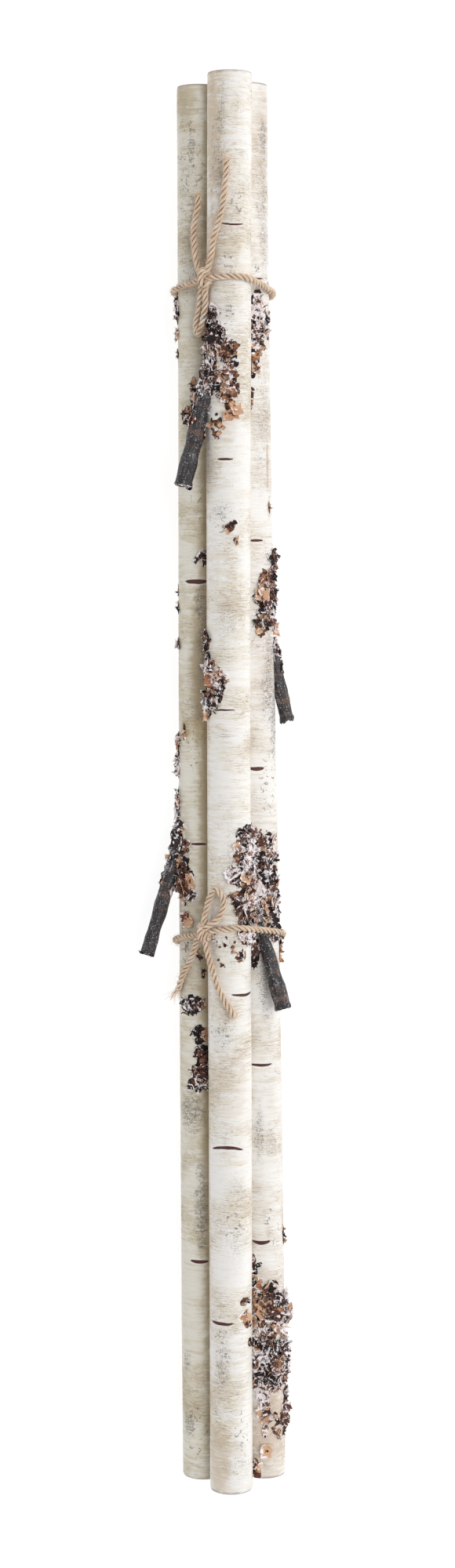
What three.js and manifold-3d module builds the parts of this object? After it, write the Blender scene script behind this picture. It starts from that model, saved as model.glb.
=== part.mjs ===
// A bundle of three birch poles, tied in two places with jute twine, with cut twigs and crusts of rough bark.
// Millimetres. +Z is up and +Y runs along the poles to their top ends. The bundle lies on two of the poles.

import * as THREE from "three";
import { mergeVertices } from "three/addons/utils/BufferGeometryUtils.js";
import Module from "manifold-3d";

const wasm = await Module();
wasm.setup();

// Driving dimensions
const poleLength = 1220;
const poleRadius = 18.65;
const twineRadius = 2.9;
const clearance = 0.3; // between pieces that touch
const twineFlattening = 0.4; // how far the weight presses the twine flat where it bears
const boxCentreX = -8.93; // the middle of the whole bundle across, which becomes x = 0

// Fineness of the solids
const poleSides = 24;
const poleRings = 6;
const twineSides = 8; // an even number
const wrapStep = 6.5;
const strandStep = 9;
const knotStep = 3.6;
const twigSides = 12;
const twigRings = 4;
const lumpSides = 9;
const lumpRings = 5;

// The lower poles: the axis at y = +610 (top) and y = -610 (bottom), its bows sideways, and the cut ends
const lowerPoles = {
  pole_left: {
    top: { x: -24.15, z: 32.7 },
    bottom: { x: -21.06, z: 19.45 },
    bows: [-0.8, 0.3],
    ends: { top: 603, bottom: -607 },
  },
  pole_right: {
    top: { x: 14.9, z: 24.75 },
    bottom: { x: 33.0, z: 24.75 },
    bows: [0.3, -1.0],
    ends: { top: 606, bottom: -604 },
  },
};
const frontEnds = { top: poleLength / 2, bottom: -poleLength / 2 };

// Twigs left on the poles: the axis from the end set in the pole to the cut tip
const twigs = {
  twig_front: { pole: "pole_front", base: [-7, 388, 63.3], tip: [-37.7, 267.2, 65.3], radii: [6.9, 7.6] },
  twig_left: { pole: "pole_left", base: [-32.9, -10, 25.8], tip: [-70.2, -137.7, 29.5], radii: [6.9, 6.1] },
  twig_right_upper: { pole: "pole_right", base: [31, 160, 24.3], tip: [51.7, 66.2, 23.5], radii: [5.6, 6.2] },
  twig_right_lower: { pole: "pole_right", base: [25, -98, 40], tip: [48.5, -181.7, 53], radii: [5, 7.4] },
};

// Crusts of rough bark: the middle along the pole, the middle and width round it in degrees from straight up
const crusts = {
  pole_front: [
    { y: 389, length: 50, angle: -46, span: 84, thickness: 4.2 },
    { y: 343, length: 54, angle: -62, span: 78, thickness: 5 },
    { y: 328, length: 24, angle: -16, span: 50, thickness: 1.6 },
    { y: 232, length: 13, angle: 2, span: 36, thickness: 1.5 },
    { y: 106, length: 66, angle: -56, span: 72, thickness: 3.4 },
    { y: -72, length: 104, angle: 54, span: 84, thickness: 4.6 },
    { y: -129, length: 40, angle: 30, span: 84, thickness: 1.6 },
    { y: -453, length: 48, angle: 58, span: 70, thickness: 2.6 },
  ],
  pole_left: [
    { y: 399, length: 62, angle: -84, span: 34, thickness: 2.2 },
    { y: 16, length: 76, angle: -80, span: 34, thickness: 2.4 },
    { y: -57, length: 66, angle: -60, span: 84, thickness: 4.4 },
    { y: -183, length: 27, angle: -56, span: 84, thickness: 3.2 },
    { y: -227, length: 62, angle: -8, span: 50, thickness: 2.2 },
  ],
  pole_right: [
    { y: 397, length: 78, angle: 50, span: 84, thickness: 2.8 },
    { y: 207, length: 20, angle: 84, span: 30, thickness: 3 },
    { y: 168, length: 56, angle: 50, span: 84, thickness: 4 },
    { y: 126, length: 30, angle: 90, span: 44, thickness: 6 },
    { y: -74, length: 104, angle: 40, span: 96, thickness: 5.2 },
    { y: -134, length: 24, angle: 16, span: 68, thickness: 2.4 },
    { y: -467, length: 112, angle: 38, span: 116, thickness: 5 },
    { y: -549, length: 38, angle: 58, span: 74, thickness: 3.6 },
    { y: -596, length: 15, angle: -14, span: 42, thickness: 1.5 },
  ],
};
const crustRoot = 2.4; // how far a crust is set into the wood
const lumpLength = 30; // a long crust is a row of lumps about this long
const rimWander = [0.16, 0.1]; // how far a lump's rim swings in and out, in three waves and in five
const topWander = 0.2; // the share of a lump's height that its ridges take
const ridgePitch = 11;

// The ties. The wrap lies in a plane: its y where x and z are 0, and how y grows with x and with z.
// The knot and the loose strands are points chosen by hand, and each strand starts at the knot.
const ties = {
  upper_tie: {
    plane: { y: 427.7, perX: 0, perZ: 0.167 },
    knot: [-20, 441, 72.5],
    strands: [
      [
        [-24, 448, 64], [-27, 460.5, 61], [-28.5, 477.5, 56.5], [-27, 490.5, 54.5],
        [-25, 502.5, 54.5], [-25, 511, 55.5],
      ],
      [
        [-17, 447, 74.5], [-14.5, 456, 76], [-11, 475, 78], [-8, 484.5, 79.5],
        [-4, 500.5, 81], [-2, 516.5, 82], [-0.5, 536, 83],
      ],
      [[-18.5, 431, 71], [-18.5, 422, 69.5], [-19.5, 412.5, 67], [-22.5, 400, 61], [-24.5, 395, 57.5]],
      [[-22, 431.5, 68], [-24, 415.5, 62], [-26.5, 402, 57.5], [-26, 395, 56.5]],
    ],
  },
  lower_tie: {
    plane: { y: -129.9, perX: 0.061, perZ: 0.289 },
    knot: [-20.9, -113, 65.6],
    strands: [
      [[-25.5, -118.5, 61.5], [-28.5, -129, 54.5], [-32, -140, 48], [-38, -151.5, 41.5], [-43, -168, 34]],
      [
        [-19, -121, 67], [-17, -130, 67.5], [-13.5, -143, 70], [-8, -159.5, 73.5],
        [-1.5, -172.5, 75.5], [6, -184, 76],
      ],
      [[-20, -103, 66], [-19, -96.5, 65.5], [-15, -82, 70], [-10, -74.5, 73.5]],
      [[-17.5, -107, 71], [-10, -101.5, 74.5], [-4, -91, 76], [-4, -81, 76], [-10, -74.5, 73.5]],
    ],
  },
};
const knotTurns = 1.5;
const knotHalfHeight = 3.6; // across the wrap, square to the poles
const knotHalfWidth = 5.6; // along the poles
const knotHeartRadius = 5; // the twine packed inside the turns
const arcStep = 14; // degrees between the points of a wrap where it bends round a pole

const twigSwell = { share: 0.05, pitch: 30 }; // the slight thick and thin places of a twig

const poleWay = new THREE.Vector3(0, 1, 0);
const point = ([x, y, z]) => new THREE.Vector3(x, y, z);
const mix = (a, b, t) => a + (b - a) * t;

// The same even scatter of values from 0 to 1 each time, one for each number
function scatter(seed) {
  const value = Math.sin(seed * 12.9898) * 4375.85453;
  return value - Math.floor(value);
}

// The x and z of a pole's axis at y. The front pole lies in the groove between the two lower ones.
function axisAt(pole, y) {
  if (pole === "pole_front") return grooveAt(y);
  const { top, bottom, bows } = lowerPoles[pole];
  const t = 0.5 - y / poleLength;
  const bow = bows[0] * Math.sin(Math.PI * t) + bows[1] * Math.sin(2 * Math.PI * t);
  return { x: mix(top.x, bottom.x, t) + bow, z: mix(top.z, bottom.z, t) };
}

function grooveAt(y) {
  const left = axisAt("pole_left", y);
  const right = axisAt("pole_right", y);
  const apart = Math.hypot(right.x - left.x, right.z - left.z);
  const rise = Math.sqrt((2 * poleRadius + clearance) ** 2 - (apart / 2) ** 2);
  return {
    x: (left.x + right.x) / 2 - ((right.z - left.z) / apart) * rise,
    z: (left.z + right.z) / 2 + ((right.x - left.x) / apart) * rise,
  };
}

// A point by its place along a pole, its angle from straight up and its height over the surface
function onPole(pole, y, angle, height) {
  const axis = axisAt(pole, y);
  const reach = poleRadius + height;
  return new THREE.Vector3(axis.x + reach * Math.sin(angle), y, axis.z + reach * Math.cos(angle));
}

// A closed geometry as a solid that can be joined and cut
function solidOf(geometry) {
  const shape = geometry.clone();
  shape.deleteAttribute("normal");
  shape.deleteAttribute("uv");
  const merged = mergeVertices(shape, 1e-4);
  return new wasm.Manifold(
    new wasm.Mesh({
      numProp: 3,
      vertProperties: merged.getAttribute("position").array,
      triVerts: new Uint32Array(merged.index.array),
    }),
  );
}

function geometryOf(solid) {
  const { vertProperties, triVerts } = solid.getMesh();
  const shape = new THREE.BufferGeometry();
  shape.setAttribute("position", new THREE.BufferAttribute(vertProperties, 3));
  shape.setIndex(new THREE.BufferAttribute(triVerts, 1));
  const flat = shape.toNonIndexed();
  flat.computeVertexNormals();
  return flat;
}

const joined = (solids) => solids.reduce((whole, solid) => whole.add(solid));
const cutBy = (solid, cutters) => cutters.reduce((rest, cutter) => rest.subtract(cutter), solid);

// A pole is a cylinder that follows its axis. With extra, it is that much thicker.
function poleWood(pole, extra = 0) {
  const { top, bottom } = pole === "pole_front" ? frontEnds : lowerPoles[pole].ends;
  const radius = poleRadius + extra;
  const shape = new THREE.CylinderGeometry(radius, radius, top - bottom, poleSides, poleRings);
  shape.translate(0, (top + bottom) / 2, 0);
  const places = shape.getAttribute("position");
  for (let i = 0; i < places.count; i++) {
    const axis = axisAt(pole, places.getY(i));
    places.setX(i, places.getX(i) + axis.x);
    places.setZ(i, places.getZ(i) + axis.z);
  }
  return solidOf(shape);
}

// A twig is a tapered rod with a slightly lumpy outline, from its end in the pole to its cut tip
function twigRod({ base, tip, radii }, extra = 0) {
  const from = point(base);
  const to = point(tip);
  const length = from.distanceTo(to);
  const shape = new THREE.CylinderGeometry(radii[1] + extra, radii[0] + extra, length, twigSides, twigRings);
  const places = shape.getAttribute("position");
  for (let i = 0; i < places.count; i++) {
    const swell = 1 + twigSwell.share * Math.sin((2 * Math.PI * places.getY(i)) / twigSwell.pitch + base[1]);
    places.setX(i, places.getX(i) * swell);
    places.setZ(i, places.getZ(i) * swell);
  }
  shape.translate(0, length / 2, 0);
  shape.applyQuaternion(new THREE.Quaternion().setFromUnitVectors(poleWay, to.clone().sub(from).normalize()));
  shape.translate(from.x, from.y, from.z);
  return solidOf(shape);
}

// One lump of bark: a ball spread out on the pole, with an uneven rim and an uneven top
function barkLump(pole, { y, length, angle, span, thickness }, seed) {
  const shape = new THREE.SphereGeometry(1, lumpSides, lumpRings);
  const places = shape.getAttribute("position");
  for (let i = 0; i < places.count; i++) {
    const ball = new THREE.Vector3().fromBufferAttribute(places, i);
    const way = Math.atan2(ball.z, ball.x);
    const rim = 1 + rimWander[0] * Math.sin(3 * way + seed) + rimWander[1] * Math.sin(5 * way + 2 * seed);
    const along = y + (ball.x * rim * length) / 2;
    const round = THREE.MathUtils.degToRad(angle + (ball.z * rim * span) / 2);
    const ridge = 1 - topWander + topWander * Math.sin((2 * Math.PI * along) / ridgePitch + seed);
    const height = ball.y > 0 ? thickness * Math.sqrt(ball.y) * ridge : crustRoot * ball.y;
    const place = onPole(pole, along, round, height);
    places.setXYZ(i, place.x, place.y, place.z);
  }
  return solidOf(shape);
}

// A crust is a row of overlapping lumps, staggered round the pole. With extra, it is that much larger.
function crustLumps(pole, crust, seed, extra) {
  const count = Math.max(1, Math.round(crust.length / lumpLength));
  const pitch = crust.length / count;
  const lumps = [];
  for (let k = 0; k < count; k++) {
    const chance = scatter(seed + k);
    const width = count > 1 ? mix(0.7, 0.9, chance) : 1;
    const side = (k % 2 ? 0.5 : -0.5) * (1 - width);
    const lump = {
      y: crust.y + pitch * (k - (count - 1) / 2),
      length: pitch * (count > 1 ? mix(1.2, 1.5, chance) : 1) + 2 * extra,
      angle: crust.angle + side * crust.span,
      span: crust.span * width + THREE.MathUtils.radToDeg(2 * extra / poleRadius),
      thickness: crust.thickness * mix(0.75, 1, scatter(seed + k + 0.5)) + extra,
    };
    lumps.push(barkLump(pole, lump, seed + k));
  }
  return joined(lumps);
}

const crustsOf = (pole, extra = 0) =>
  joined(crusts[pole].map((crust, index) => crustLumps(pole, crust, 10 * index + crust.angle, extra)));

// A length of twine along a curve, in straight stretches of about one step
function twineTube(points, radius, step) {
  const curve = new THREE.CatmullRomCurve3(points, false, "centripetal");
  const outline = new THREE.Shape();
  outline.absarc(0, 0, radius, 0, 2 * Math.PI);
  const steps = Math.max(3, Math.round(curve.getLength() / step));
  const settings = { steps, curveSegments: twineSides / 2, extrudePath: curve };
  return solidOf(new THREE.ExtrudeGeometry(outline, settings));
}

// A pole's axis where a tie's plane cuts it
function axisInTie(tie, pole) {
  const { y, perX, perZ } = tie.plane;
  const near = axisAt(pole, y);
  return axisAt(pole, y + perX * near.x + perZ * near.z);
}

// The corner of the wrap round one pole: points on an arc from the direction it comes in to where it leaves.
// They lie out far enough for the straight stretches between them to clear the pole.
function wrapCorner(tie, pole, from, to) {
  const { y, perX, perZ } = tie.plane;
  const axis = axisInTie(tie, pole);
  const reach = (poleRadius + clearance + twineRadius) / Math.cos(THREE.MathUtils.degToRad(arcStep / 2));
  const sweep = (to - from + 2 * Math.PI) % (2 * Math.PI);
  const count = Math.ceil(THREE.MathUtils.radToDeg(sweep) / arcStep);
  const points = [];
  for (let k = 0; k <= count; k++) {
    const angle = from + (sweep * k) / count;
    const x = axis.x + reach * Math.sin(angle);
    const z = axis.z + reach * Math.cos(angle);
    points.push(new THREE.Vector3(x, y + perX * x + perZ * z, z));
  }
  return points;
}

// The wrap's route: from the knot over the front pole, round the right and left poles and back to the knot
function wrapRoute(tie) {
  const order = ["pole_left", "pole_front", "pole_right", "pole_left", "pole_front"];
  const centres = order.map((pole) => axisInTie(tie, pole));
  const leaving = [];
  for (let k = 0; k + 1 < order.length; k++) {
    const [a, b] = [centres[k], centres[k + 1]];
    leaving.push(Math.atan2(a.z - b.z, b.x - a.x));
  }
  const knot = point(tie.knot);
  const front = wrapCorner(tie, "pole_front", leaving[0], leaving[1]);
  const right = wrapCorner(tie, "pole_right", leaving[1], leaving[2]);
  const left = wrapCorner(tie, "pole_left", leaving[2], leaving[3]);
  return [knot, ...front.slice(1), ...right, right.at(-1).clone().lerp(left[0], 0.5), ...left, knot];
}

// Turns of twine round the strands where they cross, flattened against the poles
function knotRoute(tie) {
  const left = axisInTie(tie, "pole_left");
  const front = axisInTie(tie, "pole_front");
  const along = new THREE.Vector3(front.x - left.x, 0, front.z - left.z).normalize();
  const outward = new THREE.Vector3(-along.z, 0, along.x);
  const points = [];
  const count = 8 * knotTurns;
  for (let k = 0; k <= count; k++) {
    const turn = knotTurns * (k / count - 0.5);
    const place = point(tie.knot)
      .addScaledVector(along, 2 * twineRadius * turn)
      .addScaledVector(outward, knotHalfHeight * Math.cos(2 * Math.PI * turn))
      .addScaledVector(poleWay, knotHalfWidth * Math.sin(2 * Math.PI * turn));
    points.push(place);
  }
  return points;
}

function knotHeart(tie, extra) {
  const shape = new THREE.SphereGeometry(knotHeartRadius + extra, twineSides, twineSides / 2);
  shape.translate(...tie.knot);
  return solidOf(shape);
}

// A tie: the wrap, the turns of its knot and the loose strands in one piece. With extra, it is that much
// thicker.
function tieTwine(tie, extra = 0) {
  const radius = twineRadius + extra;
  const wrap = twineTube(wrapRoute(tie), radius, wrapStep);
  const turns = twineTube(knotRoute(tie), radius, knotStep);
  const routes = tie.strands.map((strand) => [tie.knot, ...strand].map(point));
  const strands = routes.map((route) => twineTube(route, radius, strandStep));
  return joined([wrap, turns, knotHeart(tie, extra), ...strands]);
}

// What lies below the surface that the bundle rests on
function belowFloor() {
  const [wide, deep] = [8 * poleRadius, 2 * poleRadius];
  const slab = new THREE.BoxGeometry(wide, poleLength, deep);
  slab.translate(0, 0, twineFlattening - deep / 2);
  return solidOf(slab);
}

const finishes = {
  pole_front: { color: 0xe6e2d8, roughness: 0.72 },
  pole_left: { color: 0xdcd3b8, roughness: 0.75 },
  pole_right: { color: 0xe2ddd0, roughness: 0.72 },
  twig: { color: 0x4b443e, roughness: 0.85 },
  tie: { color: 0xc8a578, roughness: 0.95 },
};

function namedMesh(name, solid, finish) {
  const mesh = new THREE.Mesh(geometryOf(solid), new THREE.MeshStandardMaterial({ ...finish, metalness: 0 }));
  mesh.name = name;
  return mesh;
}

const thickTies = Object.values(ties).map((tie) => tieTwine(tie, clearance));
const bundle = new THREE.Group();

function addPole(name, neighbours) {
  const sockets = Object.values(twigs)
    .filter((twig) => twig.pole === name)
    .map((twig) => twigRod(twig, clearance));
  const bark = cutBy(crustsOf(name), [...thickTies, ...neighbours]);
  bundle.add(namedMesh(name, cutBy(poleWood(name).add(bark), sockets), finishes[name]));
}

const thickFront = poleWood("pole_front", clearance).add(crustsOf("pole_front", clearance));
addPole("pole_front", [poleWood("pole_left", clearance), poleWood("pole_right", clearance)]);
addPole("pole_left", [thickFront, poleWood("pole_right", clearance)]);
addPole("pole_right", [thickFront, poleWood("pole_left", clearance)]);
for (const [name, twig] of Object.entries(twigs))
  bundle.add(namedMesh(name, cutBy(twigRod(twig), thickTies), finishes.twig));
for (const [name, tie] of Object.entries(ties))
  bundle.add(namedMesh(name, tieTwine(tie).subtract(belowFloor()), finishes.tie));
bundle.position.set(-boxCentreX, 0, -twineFlattening);

export default bundle;
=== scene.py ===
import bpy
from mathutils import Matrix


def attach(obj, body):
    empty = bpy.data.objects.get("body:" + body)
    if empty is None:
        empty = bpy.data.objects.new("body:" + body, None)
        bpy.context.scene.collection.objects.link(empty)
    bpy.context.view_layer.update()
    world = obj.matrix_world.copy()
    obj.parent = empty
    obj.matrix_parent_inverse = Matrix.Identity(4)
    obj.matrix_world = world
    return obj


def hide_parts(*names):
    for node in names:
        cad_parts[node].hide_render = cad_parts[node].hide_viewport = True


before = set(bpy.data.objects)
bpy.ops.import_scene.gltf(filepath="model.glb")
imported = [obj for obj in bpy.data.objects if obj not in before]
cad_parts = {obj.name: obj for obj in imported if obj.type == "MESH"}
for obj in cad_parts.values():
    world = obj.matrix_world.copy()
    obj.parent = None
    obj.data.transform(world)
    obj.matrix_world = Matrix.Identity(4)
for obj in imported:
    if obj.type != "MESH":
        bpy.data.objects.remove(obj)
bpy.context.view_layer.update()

import math

import bpy
import numpy as np
from mathutils import Vector

# Three birch poles tied with jute twine, lying on two of them. Places are in millimetres in the layout
# of part.mjs, and toFrame() turns them into the frame's metres.
layout = {"shift": (8.93, 0.0, -0.4), "poleLength": 1220.0, "poleRadius": 18.65, "twineRadius": 2.9}
layout["clearance"] = 0.3


def toFrame(places):
    return (np.asarray(places, float) + layout["shift"]) * 0.001


# Camera
view = {"place": (0.00893, 0.2208, 2.2518), "tilt": -5.372, "lens": 59.09}

camera = bpy.data.objects.new("camera", bpy.data.cameras.new("camera"))
camera.data.lens = view["lens"]
camera.data.sensor_width = 36
camera.location = view["place"]
camera.rotation_euler = (math.radians(view["tilt"]), 0, 0)
bpy.context.collection.objects.link(camera)
bpy.context.scene.camera = camera
bpy.context.scene.view_settings.view_transform = "Standard"
print("camera placed")


# Evenly scattered values and noise
def scatter(cells, seed):
    mixed = cells[..., 0] * 73856093 ^ cells[..., 1] * 19349663 ^ cells[..., 2] * 83492791
    mixed = (mixed + seed * 40503) & 0xFFFFFFFF
    mixed = ((mixed ^ (mixed >> 15)) * 2246822519) & 0xFFFFFFFF
    mixed = ((mixed ^ (mixed >> 13)) * 3266489917) & 0xFFFFFFFF
    return ((mixed ^ (mixed >> 16)) & 0xFFFF) / 65535


def softNoise(places, size, seed):  # from 0 to 1, with blobs about size mm across
    spots = places / np.asarray(size, float) + seed * 7.31
    cells = np.floor(spots).astype(np.int64)
    part = spots - cells
    part = part * part * (3 - 2 * part)
    total = np.zeros(places.shape[:-1])
    for corner in np.ndindex(2, 2, 2):
        weight = np.prod(np.where(corner, part, 1 - part), axis=-1)
        total += weight * scatter(cells + np.array(corner), seed)
    return total


def roughNoise(places, size, seed):  # three finenesses of noise together
    size = np.asarray(size, float)
    return sum(softNoise(places, size / 2**k, seed + k) * 0.5**k for k in range(3)) / 1.75


def rise(low, high, value):
    part = np.clip((value - low) / (high - low), 0, 1)
    return part * part * (3 - 2 * part)


def plates(along, across, size, seed):  # the tone of each plate and the way to its nearest crack
    spots = np.stack([along / size[0], across / size[1]], -1)
    near = np.full(along.shape, 9.0)
    second = np.full(along.shape, 9.0)
    tone = np.zeros(along.shape)
    for step in np.ndindex(3, 3):
        cell = np.floor(spots).astype(np.int64) + np.array(step) - 1
        key = np.concatenate([cell, np.zeros_like(cell[..., :1])], -1)
        middle = cell + 0.5 + 0.85 * (np.stack([scatter(key, seed), scatter(key, seed + 1)], -1) - 0.5)
        far = np.linalg.norm(spots - middle, axis=-1)
        closer = far < near
        second = np.where(closer, near, np.minimum(second, far))
        tone = np.where(closer, scatter(key, seed + 2), tone)
        near = np.minimum(near, far)
    return tone, second - near


# Shader and geometry node maths
class Wire:  # a socket that can be added, multiplied and so on
    def __init__(self, graph, socket):
        self.graph = graph
        self.socket = socket

    def math(self, operation, first, second):
        return self.graph.node("ShaderNodeMath", {"operation": operation}, {0: first, 1: second})

    def __add__(self, other):
        return self.math("ADD", self, other)

    def __sub__(self, other):
        return self.math("SUBTRACT", self, other)

    def __mul__(self, other):
        return self.math("MULTIPLY", self, other)

    def __rsub__(self, other):
        return self.math("SUBTRACT", other, self)

    __radd__ = __add__
    __rmul__ = __mul__


class Graph:
    def __init__(self, tree):
        self.tree = tree
        tree.nodes.clear()

    def node(self, kind, settings=None, sockets=None, output=0):
        made = self.tree.nodes.new(kind)
        for key, value in (settings or {}).items():
            setattr(made, key, value)
        for key, value in (sockets or {}).items():
            self.feed(self.pick(made.inputs, key), value)
        return Wire(self, self.pick(made.outputs, output))

    def pick(self, sockets, key):
        if key is None:
            return None
        if isinstance(key, int):
            return sockets[key]
        shown = [s for s in sockets if s.enabled]
        return ([s for s in shown if s.identifier == key] or [s for s in shown if s.name == key])[0]

    def feed(self, socket, value):
        if isinstance(value, Wire):
            self.tree.links.new(value.socket, socket)
        elif isinstance(value, tuple) and len(value) == 3 and socket.type == "RGBA":
            socket.default_value = (*value, 1)
        else:
            socket.default_value = value

    def joined(self, x, y, z=0.0):
        return self.node("ShaderNodeCombineXYZ", {}, {"X": x, "Y": y, "Z": z})

    def cloud(self, place, scale, detail, output="Fac"):
        sockets = {"Vector": place, "Scale": scale, "Detail": detail}
        return self.node("ShaderNodeTexNoise", {}, sockets, output=output)

    def away(self, value):  # how far a value is from 0
        return self.node("ShaderNodeMath", {"operation": "ABSOLUTE"}, {0: value})


class Growth(Graph):  # a tree that grows small things all over a piece
    def __init__(self, name, labels):
        group = bpy.data.node_groups.new(name, "GeometryNodeTree")
        super().__init__(group)
        face = group.interface
        face.new_socket("Piece", in_out="INPUT", socket_type="NodeSocketGeometry")
        for label in labels:
            face.new_socket(label, in_out="INPUT", socket_type="NodeSocketFloat")
        face.new_socket("Seed", in_out="INPUT", socket_type="NodeSocketInt")
        face.new_socket("Grown", in_out="OUTPUT", socket_type="NodeSocketGeometry")
        given = group.nodes.new("NodeGroupInput")
        self.take = {s.name: Wire(self, s) for s in given.outputs if s.name}

    def roots(self, density):  # points on the piece, and the way that the piece faces at each
        sockets = {"Mesh": self.take["Piece"], "Density": density, "Seed": self.take["Seed"]}
        roots = self.node("GeometryNodeDistributePointsOnFaces", {}, sockets)
        return roots, Wire(self, roots.socket.node.outputs["Rotation"])

    def chance(self, low, high, seed, kind="FLOAT"):
        output = "Value_001" if kind == "FLOAT" else "Value"
        sockets = {"Min": low, "Max": high, "Seed": seed}
        return self.node("FunctionNodeRandomValue", {"data_type": kind}, sockets, output=output)

    def done(self, roots, rotation, shape, tilt, scale, finish):
        turned = self.node("FunctionNodeRotateRotation", {"rotation_space": "LOCAL"}, {0: rotation, 1: tilt})
        spread = {"Points": roots, "Instance": shape, "Rotation": turned, "Scale": scale}
        spread = self.node("GeometryNodeInstanceOnPoints", {}, spread)
        solid = self.node("GeometryNodeRealizeInstances", {}, {0: spread})
        solid = self.node("GeometryNodeSetMaterial", {}, {"Geometry": solid, "Material": finish})
        self.node("NodeGroupOutput", {}, {0: solid}, output=None)
        return self.tree


class Finish(Graph):  # a material
    def __init__(self, name):
        self.material = bpy.data.materials.new(name)
        self.material.use_nodes = True
        super().__init__(self.material.node_tree)
        self.place = self.node("ShaderNodeTexCoord", output="Object")

    def attribute(self, name):
        return self.node("ShaderNodeAttribute", {"attribute_name": name}, output="Fac")

    def noise(self, size, detail=3.0, roughness=0.5, place=None, shift=0.0):  # size in mm, one or three
        around, along, up = size if isinstance(size, tuple) else (size,) * 3
        scale = (1000 / around, 1000 / along, 1000 / up)
        spot = self.node(
            "ShaderNodeVectorMath",
            {"operation": "MULTIPLY_ADD"},
            {0: place or self.place, 1: scale, 2: (shift, shift, shift)},
        )
        sockets = {"Vector": spot, "Scale": 1.0, "Detail": detail, "Roughness": roughness}
        return self.node("ShaderNodeTexNoise", {}, sockets, output="Fac")

    def step(self, value, low, high):
        settings = {"interpolation_type": "SMOOTHSTEP"}
        return self.node("ShaderNodeMapRange", settings, {"Value": value, "From Min": low, "From Max": high})

    def blend(self, share, first, second):
        sockets = {"Factor_Float": share, "A_Color": first, "B_Color": second}
        return self.node("ShaderNodeMix", {"data_type": "RGBA"}, sockets, output="Result_Color")

    def bump(self, height, distance, strength=1.0):
        sockets = {"Height": height, "Distance": distance, "Strength": strength}
        return self.node("ShaderNodeBump", {}, sockets)

    def done(self, sockets):
        shader = self.node("ShaderNodeBsdfPrincipled", {}, sockets)
        self.node("ShaderNodeOutputMaterial", {}, {"Surface": shader}, output=None)
        return self.material


# Making meshes
def madePiece(name, places, faces, finishes, attributes=None, slots=None):
    mesh = bpy.data.meshes.new(name)
    mesh.from_pydata(places.tolist(), [], faces)
    for finish in finishes:
        mesh.materials.append(finish)
    if slots is not None:
        mesh.polygons.foreach_set("material_index", slots)
    mesh.polygons.foreach_set("use_smooth", [True] * len(mesh.polygons))
    for key, values in (attributes or {}).items():
        layer = mesh.attributes.new(key, "FLOAT", "POINT")
        layer.data.foreach_set("value", np.asarray(values, np.float32).ravel())
    mesh.update()
    piece = bpy.data.objects.new(name, mesh)
    bpy.context.collection.objects.link(piece)
    return piece


def tubeFaces(rings, sides, start=0):  # quads of a tube whose rings follow each other in the list
    ring = np.arange(rings - 1)[:, None] * sides + start
    side = np.arange(sides)[None, :]
    ahead = (side + 1) % sides
    quads = np.stack([ring + side, ring + ahead, ring + sides + ahead, ring + sides + side], -1)
    return quads.reshape(-1, 4).tolist()


def capFaces(first, total, rings, sides, heading):  # close a tube's end, from its last ring to one point
    loops = [first + np.arange(sides)]
    loops += [total + k * sides + np.arange(sides) for k in range(rings)]
    ahead = [np.roll(loop, -1) for loop in loops]
    faces = []
    for k in range(rings):
        faces += np.stack([loops[k], ahead[k], ahead[k + 1], loops[k + 1]], -1).tolist()
    middle = np.full(sides, total + rings * sides)
    faces += np.stack([loops[-1], ahead[-1], middle], -1).tolist()
    return faces if heading > 0 else [face[::-1] for face in faces]


# Routes
def smoothRoute(corners, step):  # a centripetal curve through the corners, in even steps
    corners = np.asarray(corners, float)
    corners = np.vstack([2 * corners[0] - corners[1], corners, 2 * corners[-1] - corners[-2]])
    knots = np.concatenate([[0], np.cumsum(np.linalg.norm(np.diff(corners, axis=0), axis=1) ** 0.5)])
    fine = [corners[1]]
    for k in range(1, len(corners) - 2):
        p = corners[k - 1 : k + 3]
        s = knots[k - 1 : k + 3]
        t = np.linspace(s[1], s[2], 25)[1:, None]
        low = [((s[i + 1] - t) * p[i] + (t - s[i]) * p[i + 1]) / (s[i + 1] - s[i]) for i in range(3)]
        mid = [((s[i + 2] - t) * low[i] + (t - s[i]) * low[i + 1]) / (s[i + 2] - s[i]) for i in range(2)]
        fine.extend(((s[2] - t) * mid[0] + (t - s[1]) * mid[1]) / (s[2] - s[1]))
    fine = np.array(fine)
    run = np.concatenate([[0], np.cumsum(np.linalg.norm(np.diff(fine, axis=0), axis=1))])
    even = np.linspace(0, run[-1], int(round(run[-1] / step)) + 1)
    return np.stack([np.interp(even, run, fine[:, k]) for k in range(3)], -1)


def framesAlong(route):  # two directions square to the route at each point, with no twist of their own
    way = np.gradient(route, axis=0)
    way /= np.linalg.norm(way, axis=1, keepdims=True)
    side = np.zeros_like(way)
    now = np.cross(way[0], (0.3, 0.2, 0.9))
    for k, heading in enumerate(way):
        now = now - heading * now.dot(heading)
        now /= np.linalg.norm(now)
        side[k] = now
    return way, side, np.cross(way, side)


# The poles' lines
lowerPoles = {
    "pole_left": {"top": (-24.15, 32.7), "bottom": (-21.06, 19.45), "bows": (-0.8, 0.3)},
    "pole_right": {"top": (14.9, 24.75), "bottom": (33.0, 24.75), "bows": (0.3, -1.0)},
}
poleEnds = {"pole_front": (610, -610), "pole_left": (603, -607), "pole_right": (606, -604)}


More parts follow.
